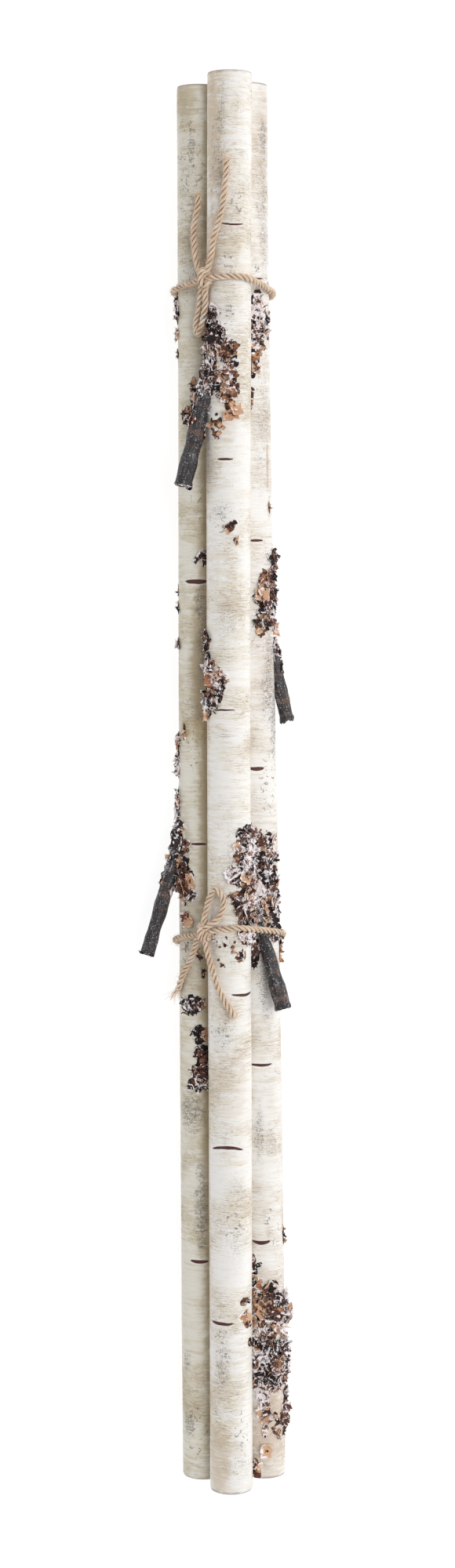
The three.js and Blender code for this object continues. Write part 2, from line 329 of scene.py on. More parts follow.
def axisAt(pole, y):  # x and z of a pole's axis
    if pole == "pole_front":
        (leftX, leftZ), (rightX, rightZ) = axisAt("pole_left", y), axisAt("pole_right", y)
        apart = np.hypot(rightX - leftX, rightZ - leftZ)
        lift = np.sqrt((2 * layout["poleRadius"] + layout["clearance"]) ** 2 - (apart / 2) ** 2)
        x = (leftX + rightX) / 2 - (rightZ - leftZ) / apart * lift
        return x, (leftZ + rightZ) / 2 + (rightX - leftX) / apart * lift
    line = lowerPoles[pole]
    t = 0.5 - y / layout["poleLength"]
    bow = line["bows"][0] * np.sin(math.pi * t) + line["bows"][1] * np.sin(2 * math.pi * t)
    x = line["top"][0] * (1 - t) + line["bottom"][0] * t + bow
    return x, line["top"][1] * (1 - t) + line["bottom"][1] * t


# The ties
ties = {
    "upper_tie": {
        "plane": (427.7, 0.0, 0.167),
        "knot": (-20, 441, 72.5),
        "tailLeft": [(-24, 448, 64), (-27, 460.5, 61), (-28.5, 477.5, 56.5), (-27, 490.5, 54.5)]
        + [(-25, 502.5, 54.5), (-25, 511, 55.5)],
        "tailRight": [(-17, 447, 74.5), (-14.5, 456, 76), (-11, 475, 78), (-8, 484.5, 79.5)]
        + [(-4, 500.5, 81), (-2, 516.5, 82), (-0.5, 536, 83)],
        "loopOut": [(-18.5, 431, 71), (-18.5, 422, 69.5), (-19.5, 412.5, 67), (-22.5, 400, 61)],
        "loopTip": (-25.5, 395, 57),
        "loopBack": [(-26.5, 402, 57.5), (-24, 415.5, 62), (-22, 431.5, 68)],
    },
    "lower_tie": {
        "plane": (-129.9, 0.061, 0.289),
        "knot": (-20.9, -113, 65.6),
        "tailLeft": [(-25.5, -118.5, 61.5), (-28.5, -129, 54.5), (-32, -140, 48), (-38, -151.5, 41.5)]
        + [(-43, -168, 34)],
        "tailRight": [(-19, -121, 67), (-17, -130, 67.5), (-13.5, -143, 70), (-8, -159.5, 73.5)]
        + [(-1.5, -172.5, 75.5), (6, -184, 76)],
        "loopOut": [(-20, -103, 66), (-19, -96.5, 65.5), (-15, -82, 70)],
        "loopTip": (-10, -74.5, 73.5),
        "loopBack": [(-4, -81, 76), (-4, -91, 76), (-10, -101.5, 74.5), (-17.5, -107, 71)],
    },
}
twineLook = {
    "plies": 3,
    "plyRadius": 1.46,
    "plyOffset": 1.42,  # from the twine's middle to a ply's
    "pitch": 16.5,
    "sides": 10,
    "step": 0.8,
    "openedEnd": 0.3,  # how much thicker the right tail is where its plies part
    "openedLength": 9.0,
    "floorGap": 0.4,
    "arcStep": 14,
    "knotTurns": 1.5,
    "knotHalfHeight": 3.6,
    "knotHalfWidth": 5.6,
    "lengths": {"upper_tie": 0.58, "lower_tie": 0.56},  # in metres, as is the diameter
    "diameter": 0.0058,
}


def axisInTie(tie, pole):
    y, perX, perZ = tie["plane"]
    x, z = axisAt(pole, y)
    return np.array(axisAt(pole, y + perX * x + perZ * z))


def wrapRoute(tie):
    y, perX, perZ = tie["plane"]
    order = ["pole_left", "pole_front", "pole_right", "pole_left", "pole_front"]
    centres = [axisInTie(tie, pole) for pole in order]
    leaving = [math.atan2(a[1] - b[1], b[0] - a[0]) for a, b in zip(centres, centres[1:])]
    reach = layout["poleRadius"] + layout["clearance"] + layout["twineRadius"]
    reach /= math.cos(math.radians(twineLook["arcStep"] / 2))
    corners = []
    for k in range(1, 4):
        sweep = (leaving[k] - leaving[k - 1]) % (2 * math.pi)
        count = math.ceil(math.degrees(sweep) / twineLook["arcStep"])
        angles = leaving[k - 1] + sweep * np.arange(count + 1) / count
        x = centres[k][0] + reach * np.sin(angles)
        z = centres[k][1] + reach * np.cos(angles)
        corners.append(np.stack([x, y + perX * x + perZ * z, z], -1))
    front, right, left = corners
    return np.vstack([front[1:], right, [(right[-1] + left[0]) / 2], left])


def knotRoute(tie):
    left, front = axisInTie(tie, "pole_left"), axisInTie(tie, "pole_front")
    along = np.array([front[0] - left[0], 0, front[1] - left[1]])
    along /= np.linalg.norm(along)
    outward = np.array([-along[2], 0, along[0]])
    count = int(8 * twineLook["knotTurns"])
    turn = twineLook["knotTurns"] * (np.arange(count + 1) / count - 0.5)[:, None]
    places = tie["knot"] + along * 2 * layout["twineRadius"] * turn
    places = places + outward * twineLook["knotHalfHeight"] * np.cos(2 * math.pi * turn)
    return places + np.array([0, 1, 0]) * twineLook["knotHalfWidth"] * np.sin(2 * math.pi * turn)


def tieRoute(tie):  # one unbroken line from the end of the left tail to the end of the right one
    knot = np.array(tie["knot"], float)
    parts = [tie["tailLeft"][::-1], [knot + (0, -1.5, -1.5)], wrapRoute(tie), [knot + (-1, 0, 0)]]
    parts += [knotRoute(tie), tie["loopOut"], [tie["loopTip"]], tie["loopBack"]]
    parts += [[knot + (0, 1, 1.5)], tie["tailRight"]]
    return smoothRoute(np.vstack(parts), twineLook["step"])


def jute(name):
    f = Finish(name)
    around = f.attribute("around")
    along = f.attribute("along")
    fibres = f.cloud(f.joined(around * 3 + along * 0.35, along * 0.055), 1.7, 4.0)
    blotch = f.noise(9.0, 3)
    colour = f.blend(f.step(fibres, 0.38, 0.62), (0.72, 0.46, 0.28), (1.0, 0.87, 0.72))
    colour = f.blend(f.step(blotch, 0.45, 0.75) * 0.55, colour, (1.0, 0.91, 0.79))
    colour = f.blend(f.step(f.noise(2.2, 2), 0.62, 0.74) * 0.35, colour, (0.46, 0.27, 0.14))
    # painted shade: each ply darkens on the side that faces into the twine, in the creases between plies
    colour = f.blend(f.attribute("plyCreaseShade") * 0.84, colour, (0.22, 0.105, 0.04))
    height = f.bump(fibres, 0.0009, 0.8)
    return f.done({"Base Color": colour, "Roughness": 0.85, "Normal": height, "Specular IOR Level": 0.25})


juteTwine = jute("juteTwine")


def twine(name, tie):
    route = tieRoute(tie)
    run = np.arange(len(route)) * twineLook["step"]
    way, side, top = framesAlong(route)
    sides, plies = twineLook["sides"], twineLook["plies"]
    opened = 1 + twineLook["openedEnd"] * rise(twineLook["openedLength"], 1.0, run[-1] - run)
    places, faces, around, along, plyCreaseShade = [], [], [], [], []
    for ply in range(plies):
        swell = 1 + 0.09 * np.sin(run / 5.3 + ply * 2.1) + 0.05 * np.sin(run / 1.9 + ply)
        swell = swell * opened
        turn = 2 * math.pi * (run / twineLook["pitch"] + ply / plies)
        out = side * np.cos(turn)[:, None] + top * np.sin(turn)[:, None]
        across = np.cross(way, out)
        centre = route + out * twineLook["plyOffset"] * opened[:, None]
        start = len(places)
        for k in range(len(route)):
            angle = 2 * math.pi * np.arange(sides) / sides
            bumps = 1 + 0.07 * np.sin(3 * angle + run[k] * 0.9 + ply)
            reach = twineLook["plyRadius"] * swell[k] * bumps
            ring = out[k] * (np.cos(angle) * reach)[:, None] + across[k] * (np.sin(angle) * reach)[:, None]
            places.extend(centre[k] + ring)
            around.extend(angle)
            along.extend(np.full(sides, run[k] + ply * 37))
            # how far each point faces into the twine's core, for the painted shade in the creases
            plyCreaseShade.extend(0.5 - 0.5 * np.cos(angle))
        faces += tubeFaces(len(route), sides, start)
        last = start + (len(route) - 1) * sides
        faces += [list(range(start, start + sides))[::-1], list(range(last, last + sides))]
    places = np.array(places)
    places[:, 2] = np.maximum(places[:, 2], twineLook["floorGap"])  # pressed flat under the bundle
    plyCreaseShade = rise(0.28, 0.75, np.array(plyCreaseShade))
    made = {"around": around, "along": along, "plyCreaseShade": plyCreaseShade}
    return madePiece(name, toFrame(places), faces, [juteTwine], made), route


# Fibres that stand off the twine: short hairs grown from its surface
def hairTree(name, finish):
    g = Growth(name, ("Density", "Shortest", "Longest", "Thickness"))
    take = g.take
    roots, rotation = g.roots(take["Density"])
    bow = {"Resolution": 4, "Start": (0, 0, 0), "Middle": (0.15, 0.1, 0.5), "End": (0.85, 0.2, 0.62)}
    hair = g.node("GeometryNodeCurveQuadraticBezier", {}, bow)
    ring = g.node("GeometryNodeCurvePrimitiveCircle", {}, {"Resolution": 3, "Radius": take["Thickness"]})
    solid = g.node("GeometryNodeCurveToMesh", {}, {"Curve": hair, "Profile Curve": ring, "Fill Caps": True})
    tilt = g.chance((-0.5, -0.5, 0), (0.5, 0.5, 6.283), take["Seed"], "FLOAT_VECTOR")
    size = g.chance(take["Shortest"], take["Longest"], take["Seed"])
    return g.done(roots, rotation, solid, tilt, size, finish)


lowestGrowth = 0.0002  # in metres, so that nothing reaches through the floor


def grown(name, source, tree, settings):  # what a tree grows on a piece, as a plain mesh of its own
    modifier = source.modifiers.new(name, "NODES")
    modifier.node_group = tree
    for item in tree.interface.items_tree:
        if item.in_out == "INPUT" and item.name in settings:
            modifier[item.identifier] = settings[item.name]
    bpy.context.view_layer.update()
    depsgraph = bpy.context.evaluated_depsgraph_get()
    evaluated = source.evaluated_get(depsgraph)
    mesh = bpy.data.meshes.new_from_object(evaluated, preserve_all_data_layers=True, depsgraph=depsgraph)
    source.modifiers.remove(modifier)
    mesh.name = name
    places = np.zeros(len(mesh.vertices) * 3)
    mesh.vertices.foreach_get("co", places)
    places[2::3] = np.maximum(places[2::3], lowestGrowth)
    mesh.vertices.foreach_set("co", places)
    mesh.update()
    piece = bpy.data.objects.new(name, mesh)
    bpy.context.collection.objects.link(piece)
    return piece


# Loose fibres that fan out where a tail is cut
tuftLook = {
    "count": 80,
    "shortest": 1.2,
    "longest": {"upper_tie": (4.5, 7.0), "lower_tie": (15.0, 5.0)},  # on the left and the right tail
    "bunch": 2.3,  # mm from the twine's middle to the outermost fibre
    "spread": 0.55,
    "curl": 0.22,
    "radius": 0.2,
    "points": 6,
    "floorGap": 0.8,
}


def tufts(name, routes, seed):
    chance = np.random.default_rng(seed)
    places, faces = [], []
    for end, way, longest in routes:
        way = way / np.linalg.norm(way)
        side = np.cross(way, (0.2, 0.1, 1.0))
        side /= np.linalg.norm(side)
        top = np.cross(way, side)
        for _ in range(tuftLook["count"]):
            turn = chance.uniform(0, 2 * math.pi)
            off = tuftLook["bunch"] * math.sqrt(chance.uniform())
            out = side * math.cos(turn) + top * math.sin(turn)
            length = chance.uniform(tuftLook["shortest"], longest)
            lean = tuftLook["spread"] * chance.uniform(0.1, 1.0)
            curl = chance.normal(0, tuftLook["curl"], 3)
            t = np.linspace(0, 1, tuftLook["points"])[:, None]
            line = end - way * 2 + out * off + (way * t + out * lean * t**1.5 + curl * t**2) * length
            line[:, 2] = np.maximum(line[:, 2], tuftLook["floorGap"])
            _, left, up = framesAlong(line)
            start = len(places)
            for k in range(len(line)):
                reach = tuftLook["radius"] * (1 - 0.6 * k / (len(line) - 1))
                for spoke in range(3):
                    angle = spoke * 2 * math.pi / 3
                    places.append(line[k] + (left[k] * math.cos(angle) + up[k] * math.sin(angle)) * reach)
            faces += tubeFaces(len(line), 3, start)
            last = len(places) - 3
            faces += [[start + 2, start + 1, start], [last, last + 1, last + 2]]
    return madePiece(name, toFrame(np.array(places)), faces, [juteTwine])


hairGrowth = hairTree("twineHairs", juteTwine)
hairLook = {"Density": 100000.0, "Shortest": 0.0015, "Longest": 0.0050, "Thickness": 0.014}
for seed, (name, tie) in enumerate(ties.items()):
    rope, route = twine(name + "_twine", tie)
    hairs = grown(name + "_hairs", rope, hairGrowth, {**hairLook, "Seed": seed + 3})
    leftLongest, rightLongest = tuftLook["longest"][name]
    ends = [(route[0], route[0] - route[6], leftLongest), (route[-1], route[-1] - route[-7], rightLongest)]
    frayed = tufts(name + "_frayed_ends", ends, seed + 11)
    length = np.linalg.norm(np.diff(route, axis=0), axis=1).sum() * 0.001
    print(f"{name}: {length:.3f} m of twine")
    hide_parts(name)
    for piece in (rope, hairs, frayed):
        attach(piece, "root")
print("ties made")


# What shows on the bark
# Crusts of rough bark: y, length along the pole, angle from straight up, width round it in degrees,
# thickness, and how much of the place they cover
crusts = {
    "pole_front": [
        (405, 20, -60, 55, 1.6, 0.8),
        (385, 32, -47, 85, 4.2, 1),
        (376, 19, -2, 48, 2.2, 0.95),
        (358, 28, -45, 90, 4.6, 1),
        (358, 15, 3, 40, 2, 0.9),
        (347, 20, -12, 62, 2.8, 0.9),
        (334, 13, 6, 30, 1.5, 0.85),
        (318, 20, -34, 34, 0.9, 0.6),
        (233, 8, 3, 26, 0.9, 0.8),
        (222, 5, 20, 12, 0.6, 0.8),
        (136, 18, -74, 30, 1.6, 1),
        (118, 24, -68, 44, 2, 1),
        (104, 20, -51, 77, 3, 0.95),
        (90, 28, -62, 58, 3.4, 0.95),
        (92, 14, -26, 20, 1.6, 0.8),
        (-29, 20, 58, 62, 2.6, 1),
        (-46, 28, 48, 90, 4.2, 1),
        (-65, 24, 46, 94, 4.6, 1),
        (-84, 26, 50, 86, 4.2, 0.95),
        (-101, 18, 56, 70, 3, 1),
        (-116, 16, 58, 64, 2.6, 1),
        (-118, 14, -24, 37, 0.8, 0.5),
        (-127, 16, 16, 35, 0.6, 0.45),
        (-132, 10, 34, 28, 0.6, 0.5),
        (-139, 12, -19, 36, 0.5, 0.45),
        (-437, 8, 37, 35, 1, 0.65),
        (-453, 16, 51, 31, 0.9, 0.65),
        (-475, 8, 63, 19, 0.8, 0.9),
    ],
    "pole_left": [
        (416, 30, -80, 26, 2.2, 1),
        (397, 9, -82, 20, 1.4, 0.9),
        (380, 9, -82, 20, 2, 1),
        (329, 12, -32, 40, 1.6, 0.8),
        (349, 24, -15, 19, 1.2, 0.7),
        (210, 11, 12, 17, 0.5, 0.55),
        (180, 8, -84, 18, 1.2, 1),
        (167, 7, -84, 18, 1, 1),
        (133, 8, -84, 18, 1.2, 1),
        (58, 15, -47, 12, 0.8, 1),
        (49, 12, -80, 24, 2.2, 1),
        (38, 12, -84, 22, 1.6, 1),
        (22, 12, -84, 22, 2, 1),
        (-6, 30, -84, 26, 2.4, 1),
        (-32, 27, -70, 46, 4.6, 1),
        (-50, 30, -61, 60, 4.4, 1),
        (-72, 26, -56, 68, 3.6, 0.95),
        (-67, 10, -28, 31, 1.4, 0.65),
        (-84, 12, -40, 36, 2, 0.85),
        (-106, 8, -40, 22, 0.6, 0.7),
        (-153, 8, 6, 10, 0.6, 0.8),
        (-136, 17, -35, 20, 0.6, 0.5),
        (-133, 10, -5, 12, 0.5, 0.6),
        (-180, 15, -20, 42, 2.8, 1),
        (-206, 18, -2, 44, 2.6, 1),
        (-222, 15, 2, 38, 2, 0.95),
        (-240, 24, -2, 46, 2.6, 0.95),
        (-249, 9, -24, 30, 1.2, 0.8),
    ],
    "pole_right": [
        (421, 22, 22, 36, 2.2, 0.85),
        (404, 26, 46, 56, 2.0, 0.5),
        (399, 30, 22, 38, 2.6, 0.85),
        (381, 22, 18, 34, 2.4, 0.85),
        (368, 16, 12, 24, 1.6, 1),
        (343, 17, 7, 12, 0.6, 0.8),
        (250, 10, 60, 10, 0.8, 1),
        (206, 22, 84, 30, 3, 1),
        (184, 24, 41, 44, 2.6, 0.95),
        (176, 48, 72, 38, 2.8, 0.95),
        (168, 25, 38, 50, 2.2, 0.9),
        (155, 13, 18, 26, 0.8, 0.55),
        (146, 13, 25, 40, 0.9, 0.65),
        (137, 26, 84, 28, 2.6, 1),
        (-39, 22, 2, 46, 3.2, 1),
        (-36, 16, 32, 35, 2, 0.85),
        (-54, 22, 4, 60, 3.8, 1),
        (-50, 10, 48, 45, 1.2, 0.7),
        (-70, 24, 2, 54, 4.6, 1),
        (-62, 8, 42, 44, 1.8, 1),
        (-79, 24, 36, 56, 1.6, 0.75),
        (-93, 34, 9, 72, 4.2, 1),
        (-99, 22, 48, 48, 1.6, 0.65),
        (-117, 22, 14, 92, 3.6, 1),
        (-136, 16, -11, 22, 1, 1),
        (-134, 30, 86, 18, 1, 0.95),
        (-388, 15, 78, 16, 1.2, 1),
        (-417, 30, -26, 18, 1.4, 0.9),
        (-445, 34, -20, 36, 2, 0.95),
        (-430, 9, 27, 36, 1.4, 0.8),
        (-446, 22, 20, 50, 2.6, 1),
        (-460, 36, 58, 70, 4.4, 1),
        (-469, 40, 9, 58, 4, 1),
        (-488, 36, 0, 84, 4.6, 1),
        (-499, 52, 60, 66, 4.6, 1),
        (-509, 26, 2, 84, 4, 1),
        (-542, 36, 76, 34, 2.6, 1),
        (-533, 16, -2, 26, 1, 0.6),
        (-553, 24, 2, 24, 0.6, 0.45),
        (-556, 26, 50, 60, 1.4, 0.5),
        (-578, 8, 2, 24, 0.6, 0.75),
        (-596, 18, -22, 24, 1.2, 1),
    ],
}
# Amber and dark places in the crusts: y, length, angle, width, and from -1 black to 1 amber
crustTints = {
    "pole_front": [
        (398, 26, -50, 70, -0.8),
        (378, 22, -8, 34, 0.9),
        (362, 40, -48, 84, -0.6),
        (348, 20, -4, 44, 0.7),
        (332, 16, 6, 50, 0.9),
        (316, 24, -34, 40, 0.8),
        (232, 16, 3, 45, 0.6),
        (104, 34, -54, 60, 0.8),
        (136, 30, -70, 40, -0.8),
        (-48, 64, 50, 80, -0.4),
        (-76, 26, 44, 70, 0.6),
        (-104, 22, 56, 60, -0.3),
        (-130, 26, 4, 90, 0.7),
        (-453, 50, 50, 60, 0.6),
    ],
    "pole_left": [
        (340, 50, -30, 50, 0.4),
        (210, 16, 12, 24, 0.6),
        (58, 20, -47, 20, 0.9),
        (-50, 90, -62, 60, -0.6),
        (-76, 24, -44, 40, 0.4),
        (-140, 34, -20, 60, 0.5),
        (-210, 90, -10, 70, -0.7),
    ],
    "pole_right": [
        (378, 18, 24, 40, 0.8),
        (250, 16, 60, 20, 0.3),
        (206, 30, 84, 30, -0.8),
        (186, 26, 36, 40, 0.4),
        (172, 40, 72, 30, -0.6),
        (150, 26, 24, 50, 0.6),
        (-60, 30, 20, 60, -0.3),
        (-110, 40, 20, 80, -0.4),
        (-136, 16, -11, 22, -1.0),
        (-134, 30, 86, 18, 0.8),
        (-452, 42, 14, 86, 0.9),
        (-500, 40, 4, 60, -0.4),
        (-556, 44, 40, 90, 0.4),
        (-590, 34, -20, 50, 0.6),
    ],
}
# Thin curls and scars that show as fine dark outlines, partly painted shadow under lifted curl edges: y,
# length, angle, width in degrees, how strong
peels = {
    "pole_front": [
        (452, 24, -22, 60, 0.9),
        (409, 26, -9, 54, 0.9),
        (500, 30, 30, 60, 0.6),
        (240, 26, -30, 60, 0.7),
        (-367, 32, 2, 70, 1.0),
        (-487, 56, -27, 44, 1.0),
        (-200, 40, -36, 60, 0.8),
        (-560, 50, 30, 50, 0.6),
    ],
    "pole_left": [
        (540, 80, -30, 90, 0.8),
        (440, 40, -40, 70, 0.7),
        (262, 60, 0, 60, 0.8),
        (-37, 20, 14, 20, 1.0),
        (60, 120, 0, 80, 0.6),
        (-120, 60, -40, 60, 0.7),
        (-560, 60, -20, 80, 0.7),
    ],
    "pole_right": [
        (448, 40, 44, 80, 1.0),
        (150, 60, 24, 60, 1.0),
        (10, 60, 40, 70, 0.7),
        (-560, 60, 10, 70, 0.8),
        (-380, 40, 30, 60, 0.7),
    ],
}
# Slits in the bark: y, angle, width round the pole in degrees, how wide it gapes in mm, its bow in mm
slits = {
    "pole_front": [
        (484, 9, 60, 1.3, 0.6),
        (290, -10, 42, 1.7, 0.3),
        (79, -13, 60, 1.3, -0.5),
        (-167, 42, 74, 2.2, 1.2),
        (-300, -10, 92, 2.6, -2.5),
        (-457, -28, 70, 2.6, 0.8),
        (540, 150, 50, 1.2, 0.5),
        (180, 170, 60, 1.0, -0.6),
        (-250, 160, 40, 1.6, 0.4),
    ],
    "pole_left": [
        (187, -10, 62, 3.6, 0.5),
        (-39, -5, 44, 1.9, 0.0),
        (-188, -52, 40, 1.2, -2.4),
        (-409, -8, 50, 2.8, 0.7),
        (520, -150, 60, 1.2, 0.6),
        (300, -130, 44, 2.0, -0.5),
        (80, 160, 50, 1.1, 0.4),
        (-330, -140, 70, 1.8, 0.9),
        (-540, 170, 50, 1.2, 0.3),
    ],
    "pole_right": [
        (443, 24, 44, 1.3, 0.5),
        (222, 14, 40, 1.9, 0.0),
        (26, 4, 42, 3.0, 0.8),
        (-233, 2, 60, 2.2, 0.8),
        (-391, -4, 52, 3.0, 1.4),
        (540, 150, 50, 1.4, 0.6),
        (340, 130, 60, 1.0, 0.5),
        (100, 165, 44, 2.0, -0.6),
        (-260, 140, 56, 1.2, 0.5),
        (-520, 150, 50, 1.6, 0.8),
    ],
}
# Grey smudges and tan stains: y, length, angle, width in degrees, how strong. The stain rows 1300 mm long
# are painted shade on the poles' flanks beside their neighbours
smudges = {
    "pole_front": [
        (574, 60, -21, 34, 0.7),
        (540, 120, -34, 60, 0.6),
        (506, 20, 11, 34, 0.5),
        (412, 18, 1, 32, 0.6),
        (247, 18, -17, 68, 0.6),
        (153, 36, 1, 78, 0.5),
        (-51, 70, 0, 34, 0.5),
        (-120, 46, 20, 60, 0.5),
        (-203, 34, -20, 72, 0.55),
        (-340, 40, 17, 70, 0.5),
        (-382, 56, 12, 60, 0.45),
        (-492, 60, -24, 64, 0.6),
        (-585, 44, 20, 90, 0.45),
        (300, 200, 170, 60, 0.6),
        (-300, 240, 160, 70, 0.6),
    ],
    "pole_left": [
        (554, 32, -18, 26, 0.8),
        (500, 170, -34, 70, 0.5),
        (140, 90, 10, 44, 0.7),
        (167, 42, 3, 32, 0.9),
        (-275, 36, -31, 90, 0.8),
        (-364, 84, -1, 36, 0.9),
        (-500, 20, -50, 30, 0.7),
        (-556, 26, -44, 34, 0.8),
        (300, 220, -150, 80, 0.6),
        (-200, 260, 170, 80, 0.6),
    ],
    "pole_right": [
        (564, 34, 53, 38, 0.8),
        (510, 150, 52, 50, 0.6),
        (105, 90, 48, 60, 0.75),
        (70, 80, 64, 44, 0.8),
        (330, 120, 40, 70, 0.5),
        (-163, 62, 14, 46, 0.7),
        (-293, 66, -6, 30, 0.7),
        (-304, 32, 26, 36, 0.5),
        (250, 16, 60, 22, 0.9),
        (280, 200, 150, 80, 0.6),
        (-300, 260, 150, 80, 0.6),
    ],
}
stainsAndFlankShade = {
    "pole_front": [
        (469, 26, 1, 80, 0.5),
        (-249, 74, 0, 140, 0.45),
        (330, 60, 0, 60, 0.5),
        # the front pole's left flank, all along: painted shade beside the left pole
        (0, 1300, -92, 60, 0.6),
        (560, 130, -48, 76, 0.85),
        (470, 70, -50, 60, 0.7),
        (-580, 70, -40, 90, 0.7),
    ],
    "pole_left": [
        (586, 64, -40, 80, 0.6),
        (540, 120, -20, 120, 0.38),
        (556, 50, 30, 50, 0.8),
        (114, 150, 4, 60, 1.0),
        # the left pole's right flank under the front pole, all along: painted shade in the groove
        (0, 1300, 34, 80, 1.0),
        (60, 16, -46, 34, 1.0),
        # the left pole's left flank, all along: painted shade on the side away from the key light
        (0, 1300, -80, 60, 0.3),
    ],
    "pole_right": [
        (560, 110, 50, 90, 0.6),
        (289, 44, 54, 9, 1.0),
        (110, 110, 30, 80, 0.5),
        (-30, 90, 30, 90, 0.35),
        (-250, 60, 20, 60, 0.35),
        (-380, 30, 78, 22, 1.0),
        (-560, 90, 20, 110, 0.8),
        (-425, 26, 20, 80, 0.6),
        # the right pole's left flank against the front pole, all along: painted shade in the crevice
        (0, 1300, -60, 40, 0.5),
    ],
}
poleLook = {
    "sidesAbove": 70,  # points round the upper part, where the crusts are
    "sidesBelow": 26,
    "step": 1.5,  # mm between rings
    "crustStep": 1.15,
    "crustMargin": 4,
    "slitStep": 0.5,
    "slitMargins": (3.0, 2.6),  # below and above a slit
    "capRings": 9,
    "capDip": 0.4,
    "capRough": 0.5,
    "capMiddle": 0.6,
    "endRounding": 0.5,
    "neighbourGap": 0.1,
    "slitDepth": 0.55,
    "lipHeight": 0.22,
    "swellHeight": 0.5,
    "roughHeight": 0.35,
    "underTwine": (3.6, 0.25),  # half the width of the twine's bed, and the highest bark in it
    "floorGap": 0.45,
}


def ringPlaces(pole):  # y of each ring, closer together at crusts and slits
    top, bottom = poleEnds[pole]
    below, above = poleLook["slitMargins"]
    places = [bottom]
    while places[-1] < top:
        y = places[-1]
        step = poleLook["step"]
        if any(abs(y - c[0]) < c[1] / 2 + poleLook["crustMargin"] for c in crusts[pole]):
            step = poleLook["crustStep"]
        if any(-below < y - s[0] < above for s in slits[pole]):
            step = poleLook["slitStep"]
        places.append(y + step)
    places[-1] = top
    return np.array(places)


def roundPlaces():
    above = np.linspace(-110, 110, poleLook["sidesAbove"] + 1)
    below = np.linspace(110, 250, poleLook["sidesBelow"] + 1)[1:-1]
    return np.radians(np.concatenate([above, below]))


def turnFrom(turn, angle):  # how far round the pole it is from an angle in degrees
    return (turn - math.radians(angle) + math.pi) % (2 * math.pi) - math.pi


def spot(y, turn, mark, edge, soft=0.25):  # 1 inside a mark and 0 outside, with a ragged edge
    middle, length, angle, span = mark
    far = np.hypot((y - middle) / (length / 2), turnFrom(turn, angle) / math.radians(span / 2))
    return rise(1 + soft, 1 - soft, far + edge)


def strongest(marks, y, turn, edge, soft):
    shown = np.zeros(y.shape)
    for *mark, strength in marks:
        shown = np.maximum(shown, strength * spot(y, turn, mark, edge, soft))
    return shown


def barkRelief(pole, y, turn, seed):  # how far the bark stands out, and what shows on it
    radius = layout["poleRadius"]
    flat = np.stack([radius * np.sin(turn), y, radius * np.cos(turn)], -1)
    ragged = (roughNoise(flat, 9, seed) - 0.5) * 0.9 + (softNoise(flat, 2.6, seed + 5) - 0.5) * 0.5
    wander = flat + 5 * np.stack([softNoise(flat, 8, seed + k) - 0.5 for k in (20, 21, 22)], -1)
    arc = radius * np.arctan2(wander[..., 0], wander[..., 2])
    bigTone, bigCrack = plates(wander[..., 1], arc, (7.5, 9.5), seed + 30)
    tone, crack = plates(wander[..., 1], arc, (3.1, 4.2), seed + 33)
    crust = np.zeros(y.shape)
    height = np.zeros(y.shape)
    islands = 0.6 * softNoise(flat, 4.6, seed + 40) + 0.4 * softNoise(flat, 2.2, seed + 41)
    steps = 0.15 + 0.5 * bigTone + 0.35 * tone
    steps = steps * (0.3 + 0.7 * rise(0.0, 0.22, bigCrack)) * (0.55 + 0.45 * rise(0.0, 0.2, crack))
    for *mark, thickness, cover in crusts[pole]:
        inside = spot(y, turn, mark, ragged) * rise(0.92 - cover, 1.08 - cover, islands)
        crust = np.maximum(crust, inside)
        height = np.maximum(height, inside**0.7 * thickness * steps)
    slit = np.zeros(y.shape)
    lip = np.zeros(y.shape)
    for middle, angle, span, gape, bow in slits[pole]:
        share = turnFrom(turn, angle) / math.radians(span / 2)
        line = middle + bow * share**2 + 0.5 * (softNoise(flat, 5, seed + 8) - 0.5)
        wide = gape / 2 * np.sqrt(np.clip(1 - share**2, 0, 1)) + 0.05
        off = np.abs(y - line) / wide
        here = np.where(np.abs(share) < 1, rise(1.5, 0.6, off), 0)
        slit = np.maximum(slit, here)
        # the raised lip beside each slit, also used for a painted highlight
        near = np.where(np.abs(share) < 1.1, rise(2.4, 0.0, np.abs(np.abs(y - line) - wide - 0.5)), 0)
        lip = np.maximum(lip, near * np.clip(1.1 - np.abs(share), 0, 1))
    tint = np.zeros(y.shape)
    for *mark, warmth in crustTints[pole]:
        tint = tint + (warmth - tint) * spot(y, turn, mark, 0.6 * ragged, 0.4)
    swell = poleLook["swellHeight"] * (softNoise(flat, (60, 90, 60), seed + 9) - 0.5)
    height = height - poleLook["slitDepth"] * slit + poleLook["lipHeight"] * lip + swell
    rough = roughNoise(flat, (14, 5, 14), seed + 12) - 0.5
    height += poleLook["roughHeight"] * rough * (1 - crust)
    made = {
        "crust": crust,
        "tone": 0.6 * bigTone + 0.4 * tone,
        "crack": rise(0.16, 0.0, np.minimum(bigCrack, crack)),
        "slit": slit,
        "lip": lip * (1 - slit),
        "smudge": strongest(smudges[pole], y, turn, ragged, 0.75),
        "stainAndFlankShade": strongest(stainsAndFlankShade[pole], y, turn, 0.6 * ragged, 0.6),
        "peel": strongest(peels[pole], y, turn, ragged, 0.5),
        "tint": tint,
    }
    return height, made


